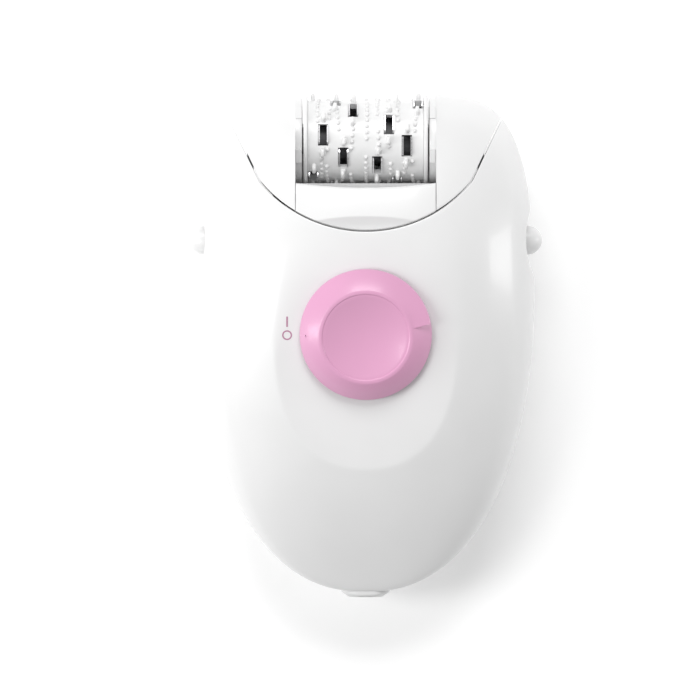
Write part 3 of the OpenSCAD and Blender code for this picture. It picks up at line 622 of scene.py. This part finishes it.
def lump(place, centre, size, power, across=14, up=9):
    # rounded block with one point at each pole
    def point(a, b):
        f = [math.cos(b) * math.cos(a), math.cos(b) * math.sin(a), math.sin(b)]
        f = [math.copysign(abs(v) ** (2 / power), v) for v in f]
        return place(*[c + s * q for c, s, q in zip(centre, size, f)])

    pts = [point(2 * math.pi * k / across, -math.pi / 2 + math.pi * i / up)
           for i in range(1, up) for k in range(across)]
    faces = []
    for row in range(0, (up - 2) * across, across):
        for k in range(across):
            j = (k + 1) % across
            faces.append((row + k, row + j, row + across + j, row + across + k))
    base, top, last = len(pts), len(pts) + 1, (up - 2) * across
    x, y, z = centre
    pts += [place(x, y, z - size[2]), place(x, y, z + size[2])]
    faces += [(base, (k + 1) % across, k) for k in range(across)]
    faces += [(last + k, last + (k + 1) % across, top) for k in range(across)]
    return pts, faces


def drumTurn():
    # lays a turned profile's axis along +X through the drum's centre
    return Matrix.Translation((0, drum["y"], drum["z"])) @ Matrix.Rotation(math.pi / 2, 4, "Y")


def mirrored(profile, side):
    return profile if side > 0 else [(r, -h) for r, h in profile]


def clearOfSlots(x, angle, marginX, marginA):
    for sx, sa in slots:
        for turn in (0, 180):
            d = (angle - sa - turn + 180) % 360 - 180
            if abs(x - sx) < slotSize["width"] / 2 + marginX and abs(d) < slotSize["angle"] / 2 + marginA:
                return False
    return True


def makeSleeve():
    r, inner, half = drum["r"], drum["inner"], drum["half"]
    body = turned("drumSleeve", [(inner, -half), (r - 0.15, -half), (r, -half + 0.15), (r, half - 0.15),
                                 (r - 0.15, half), (inner, half)], 240, drumTurn())
    tall = 2 * r * math.sin(math.radians(slotSize["angle"] / 2))
    w = slotSize["width"] / 2
    for x, a in slots:
        for turn in (0, 180):
            cut = boxSolid("slotCut", (x - w, x + w), (-tall / 2, tall / 2), (0, 14), drumFrame(a + turn))
            carve(body, cut)
    pts, faces = [], []

    def add(p, f):
        faces.extend([tuple(i + len(pts) for i in q) for q in f])
        pts.extend(p)
    # fins before and after every window, rounded at the top
    for x, a in slots:
        for turn in (0, 180):
            for s in (-1, 1):
                f = drumFrame(a + turn + s * (slotSize["angle"] / 2 + 9))
                add(*lump(f, (x + 0.15 * s, 0, 9.2), (0.5, 0.95, 1.4), 3.4, 20, 12))
    # rows of beads between the windows, each row a little slanted
    beads = [(-10.3, -0.5), (-8.4, 0.3), (-5.6, -0.8), (-3.0, 0.4), (0.2, 0.15), (2.9, -0.4), (5.1, -0.5),
             (7.9, -0.8), (10.8, 0.4)]
    for bx, slant in beads:
        for step in range(40):
            angle = step * 9 + bx * 7
            x = bx + slant * math.sin(math.radians(angle * 2))
            if clearOfSlots(x, angle, 0.6, 4) and (step + int(bx * 3)) % 10 < 8:
                f = drumFrame(angle)
                add(*lump(f, (x, 0, 9.05), (0.44, 0.44, 0.5), 2.2, 12, 8))
    extra = outward(solid("drumRelief", pts, faces))
    sleeve = joined("drumSleeve", [body, extra])
    give(finishShape(sleeve), finish["drum_white"], "drum", "drum_white", "drum_sleeve")
    print("sleeve", len(sleeve.data.polygons))


def makeFlanges():
    for side, node in ((-1, "drum_end_left"), (1, "drum_end_right")):
        a, b = drum["half"], 13.9
        prof = [(3.02, a), (9.9, a), (10.1, a + 0.1), (10.2, a + 0.3),
                (10.2, b - 0.3), (10.1, b - 0.1), (9.9, b), (3.02, b)]
        ob = turned("drumEnd" + ("L" if side < 0 else "R"), mirrored(prof, side), 160, drumTurn())
        give(finishShape(ob), finish["drum_white"], "drum", "drum_white", node)


def makeCollars():
    for side, node in ((-1, "drum_collar_left"), (1, "drum_collar_right")):
        a, b = 14.2, drum["window"]
        prof = [(7.8, a), (9.3, a), (9.5, a + 0.08), (9.6, a + 0.25), (9.6, b), (7.8, b)]
        ring = turned("collarRing", mirrored(prof, side), 160, drumTurn())
        ends = sorted((side * (a + 0.1), side * (b - 0.1)))
        for angle in (38, -22, 150):
            carve(ring, boxSolid("tab", ends, (-1.55, 1.55), (8.6, 9.88), drumFrame(angle)), "UNION")
        ring.name = "drumCollar" + ("L" if side < 0 else "R")
        give(finishShape(ring), finish["head_white"], "head", slotOf[node], node)


def makeTweezers():
    # painted shade: the carrier tube is coloured dark grey instead of metal, to stand in for the shade deep
    # inside the drum seen through the windows
    carrierShade = plastic("carrierPaintedShade", (0.10, 0.10, 0.105), 0.5)
    tall = 2 * drum["r"] * math.sin(math.radians(slotSize["angle"] / 2)) - 0.6
    top = 9.4 * math.cos(math.radians(slotSize["angle"] / 2)) + 0.5
    for name, body, node, sideX, low in (("tweezersFixed", "drum", "tweezers_fixed", 1, 7.0),
                                         ("tweezersMoving", "clamps", "tweezers_moving", -1, 5.0)):
        pts, faces = [], []
        for x, a in slots:
            for turn in (0, 180):
                f = drumFrame(a + turn)
                x0 = x + slotSize["width"] / 2 - 0.32 if sideX > 0 else x - slotSize["width"] / 2 + 0.1
                at = len(pts)
                # plate with clipped corners
                loop = [(-tall / 2, low), (tall / 2, low), (tall / 2, top - 0.35), (tall / 2 - 0.35, top),
                        (-tall / 2 + 0.35, top), (-tall / 2, top - 0.35)]
                for px in (x0, x0 + 0.3):
                    pts += [f(px, py, pz) for py, pz in loop]
                n = len(loop)
                faces += [(at + k, at + (k + 1) % n, at + n + (k + 1) % n, at + n + k) for k in range(n)]
                faces += [tuple(at + k for k in range(n))[::-1], tuple(at + n + k for k in range(n))]
        ob = outward(solid(name, pts, faces))
        if sideX < 0:
            tube = turned("carrier", [(3.3, -12.7), (5.6, -12.7), (5.6, 11.0), (3.3, 11.0)], 64, drumTurn())
            plates = len(ob.data.polygons)
            ob = joined(name, [ob, tube])
            give(finishShape(ob), finish["tweezer_metal"], body, "tweezer_metal", node)
            # second slot is the dark grey painted shade on the carrier tube's faces
            ob.data.materials.append(carrierShade)
            for p in ob.data.polygons[plates:]:
                p.material_index = 1
        else:
            give(finishShape(ob), finish["tweezer_metal"], body, "tweezer_metal", node)


# dial and its marks

dial = dict(top=5.2, disc=9.6, dish=9.56, ridge=10.75, cone=14.5, coneLow=1.72, coneHigh=4.98, sag=1.5,
            hub=3.42, stepAngle=11.0, stepWide=46.0, stepRise=1.9)


def dialPlace():
    return Matrix.Translation((0, 0, egg["facetZ"])) @ Matrix.Rotation(egg["facetTilt"], 4, "X")


def makeDial():
    bowlR = (dial["disc"] ** 2 + dial["sag"] ** 2) / (2 * dial["sag"])
    prof = [(dial["hub"], 0.42), (14.2, 0.42), (14.5, 0.5), (14.66, 0.65), (14.7, 0.85), (14.7, 1.35),
            (14.64, 1.55), (dial["cone"], dial["coneLow"])]
    for t in np.linspace(0, 1, 26)[1:]:
        r = dial["cone"] + (dial["ridge"] - dial["cone"]) * t
        rise = dial["coneLow"] + (dial["coneHigh"] - dial["coneLow"]) * t
        prof.append((r, rise + 0.22 * math.sin(math.pi * t)))
    prof += [(10.55, 5.12), (10.3, 5.18), (10.0, 5.2), (9.8, 5.19), (9.66, 5.12), (dial["dish"], 5.0)]
    floorZ = dial["top"] - dial["sag"] - 0.12
    for t in np.linspace(0, 1, 28)[1:]:
        r = dial["dish"] * (1 - t)
        prof.append((r, floorZ + bowlR - math.sqrt(bowlR ** 2 - r * r)))
    sides = 360
    pts, rows = [], []
    place = dialPlace()
    for r, h in prof:
        if r < 1e-6:
            rows.append([len(pts)])
            pts.append(place @ Vector((0, 0, h)))
            continue
        rows.append(list(range(len(pts), len(pts) + sides)))
        for k in range(sides):
            deg = k * 360 / sides
            past = (deg - dial["stepAngle"]) % 360
            lift = 0.0
            if h > 1.3 and r > dial["ridge"] and past < dial["stepWide"]:
                ease = (1 - past / dial["stepWide"]) ** 1.5
                lift = dial["stepRise"] * ease * min(1, (r - dial["ridge"]) / 3.6)
            a = math.radians(deg)
            pts.append(place @ Vector((r * math.cos(a), r * math.sin(a), h + lift)))
    faces = []
    for a, b in zip(rows, rows[1:]):
        for k in range(sides):
            j = (k + 1) % sides
            faces.append((a[k], a[j], b[j], b[k]) if len(b) > 1 else (a[k], a[j], b[0]))
    # underside: a socket for the hub
    base = rows[0]
    at = len(pts)
    pts += circle(place, dial["hub"], 2.38, sides)
    faces += [(base[k], at + k, at + (k + 1) % sides, base[(k + 1) % sides]) for k in range(sides)]
    faces.append(tuple(at + k for k in range(sides)))
    knob = outward(solid("dialKnob", pts, faces))
    centre = place @ Vector((-13.15, 0, 2.75))
    axis = (Matrix.Rotation(egg["facetTilt"], 3, "X") @ Vector((-0.62, 0, 0.78))).normalized()
    turn = axis.to_track_quat("Z", "Y").to_matrix().to_4x4()
    dot = turned("dot", [(0.5, -0.3), (0.5, 0.1), (0.42, 0.22), (0.25, 0.3), (0, 0.33)], 32,
                 Matrix.Translation(centre) @ turn)
    knob = joined("dialKnob", [knob, dot])
    give(finishShape(knob, 28), finish["dial_pink"], "dial", "dial_pink", "dial_knob")
    print("dial", len(knob.data.polygons))


def makeMarks():
    ink = plastic("markInk", (0.46, 0.22, 0.33), 0.45)
    place = dialPlace()
    mark = dict(x=-17.5, low=-0.06, high=0.035, barY=(1.65, 3.8), bar=0.18, ringY=-0.3, outer=1.1, inner=0.8)
    corners = [("inner", "low"), ("outer", "low"), ("outer", "high"), ("inner", "high")]
    rings = [circle(place, mark[r], mark[h], 64, mark["x"], mark["ringY"]) for r, h in corners]
    ring = ringSolid("markRing", rings, closed=True)
    loop = []
    for end, base in ((1, mark["barY"][1]), (-1, mark["barY"][0])):
        for t in np.linspace(0, math.pi, 9):
            x = mark["x"] + mark["bar"] * math.cos(t) * end
            loop.append((x, base + end * mark["bar"] * math.sin(t) * 0.6))
    ends = [[place @ Vector((x, y, h)) for x, y in loop] for h in (mark["low"], mark["high"])]
    bar = ringSolid("markBar", ends)
    both = joined("powerMarks", [ring, bar])
    give(finishShape(both), ink, "handle", "dial_pink")


# buttons and inlet

def makeButtons():
    cap = float(halfWidth(button["y"])) - 1.2
    scoop = float(halfWidth(button["y"])) - button["depth"]
    flange = scoop - egg["wall"] - 0.3 - 1.2
    for side, node in ((-1, "button_left"), (1, "button_right")):
        r = button["r"]
        prof = [(0, flange), (5.1, flange), (5.2, flange + 0.1), (5.2, flange + 1.1), (5.1, flange + 1.2),
                (r, flange + 1.2)]
        prof += [(r * math.cos(t), cap + r * math.sin(t)) for t in np.linspace(0, math.pi / 2, 40)[:-1]]
        prof.append((0, cap + r))
        place = Matrix.Translation((0, button["y"], egg["seam"]))
        place = place @ Matrix.Rotation(side * math.pi / 2, 4, "Y")
        ob = turned("releaseButton" + ("L" if side < 0 else "R"), prof, 128, place)
        arm = boxSolid("arm", sorted((side * 24.2, side * (flange + 0.5))), [19.9, 22.3], [13.2, 20.8])
        room = boxSolid("room", sorted((side * 25.15, side * 28.4)), [18, 24], [14.2, 19.8])
        carve(ob, carve(arm, room), "UNION")
        give(finishShape(ob), finish["button_white"], bodyOf[node], "button_white", node)


def makeInlet():
    lip, edge = 0.6, 0.15

    def loop(y, r, side, curve):
        ring = []
        for s in (1, -1):
            for t in np.linspace(0, math.pi, 48):
                x = s * side + s * r * math.sin(t)
                ring.append((x, y + curve * (x / 5.6) ** 2, inlet["z"] + s * r * math.cos(t)))
        return ring

    outerR, straight = inlet["height"] / 2, (inlet["width"] - inlet["height"]) / 2
    loops = [loop(inlet["back"], outerR, straight, 0)]
    # the lip is curved in plan, like the foot of the handle
    for t in np.linspace(0, math.pi / 2, 7):
        y = inlet["front"] + lip * (1 - math.sin(t))
        loops.append(loop(y, outerR - lip * (1 - math.cos(t)), straight, 1))
    # flat mouth, then down the bore
    for t in np.linspace(0, math.pi / 2, 4):
        y = inlet["front"] + edge * (1 - math.cos(t))
        loops.append(loop(y, inlet["bore"] + edge * (1 - math.sin(t)), 0.0005, 0))
    loops.append(loop(inlet["back"], inlet["bore"], 0.0005, 0))
    ob = ringSolid("inletCollar", loops, closed=True)
    give(finishShape(ob), finish["collar_white"], "handle", slotOf["dc_collar"], "dc_collar")


makeHandle()
makePlate()
makeHousing()
makeSleeve()
makeFlanges()
makeCollars()
makeTweezers()
makeDial()
makeMarks()
makeButtons()
makeInlet()


# floor, light and camera

def makeFloor():
    pts = [(-1500, -1500, 0), (1500, -1500, 0), (1500, 1500, 0), (-1500, 1500, 0)]
    floor = solid("floor", pts, [(0, 1, 2, 3)])
    material, tree, shader, place = shaderBase("floorWhite", specular=0.0)
    tinted(tree, place, 3, (0.96, 0.96, 0.96), (0.97, 0.97, 0.97), shader.inputs["Base Color"])
    shader.inputs["Roughness"].default_value = 0.9
    shader.inputs["Emission Color"].default_value = (1, 1, 1, 1)
    shader.inputs["Emission Strength"].default_value = 0.14
    floor.data.materials.append(material)


def areaLight(name, place, target, size, power):
    data = bpy.data.lights.new(name, "AREA")
    data.shape, data.energy = "RECTANGLE", power
    data.size, data.size_y = size[0] * mm, size[1] * mm
    ob = bpy.data.objects.new(name, data)
    ob.location = Vector(place) * mm
    ob.rotation_mode = "QUATERNION"
    ob.rotation_quaternion = (Vector(target) - Vector(place)).to_track_quat("-Z", "Y")
    bpy.context.scene.collection.objects.link(ob)


makeFloor()
areaLight("keyTop", (0, 350, 420), (0, 0, 20), (320, 200), 1.42)
areaLight("softLeft", (-340, -40, 270), (0, -10, 20), (110, 460), 1.05)
areaLight("lowRight", (430, 40, 60), (0, 0, 15), (90, 300), 0.45)

world = bpy.data.worlds.new("studio")
world.use_nodes = True
world.node_tree.nodes["Background"].inputs["Color"].default_value = (1, 1, 1, 1)
world.node_tree.nodes["Background"].inputs["Strength"].default_value = 0.43
bpy.context.scene.world = world

view = dict(x=-3.5, y=-3.6, width=157.5, plane=17.0, lens=400.0)
camData = bpy.data.cameras.new("camera")
camData.lens, camData.sensor_width = view["lens"], 36.0
away = view["lens"] * view["width"] / 36.0
camera = bpy.data.objects.new("camera", camData)
camera.location = (view["x"] * mm, view["y"] * mm, (view["plane"] + away) * mm)
camData.clip_start, camData.clip_end = 0.05, 20
bpy.context.scene.collection.objects.link(camera)
bpy.context.scene.camera = camera
bpy.context.scene.view_settings.view_transform = "Standard"
print("stage ready")
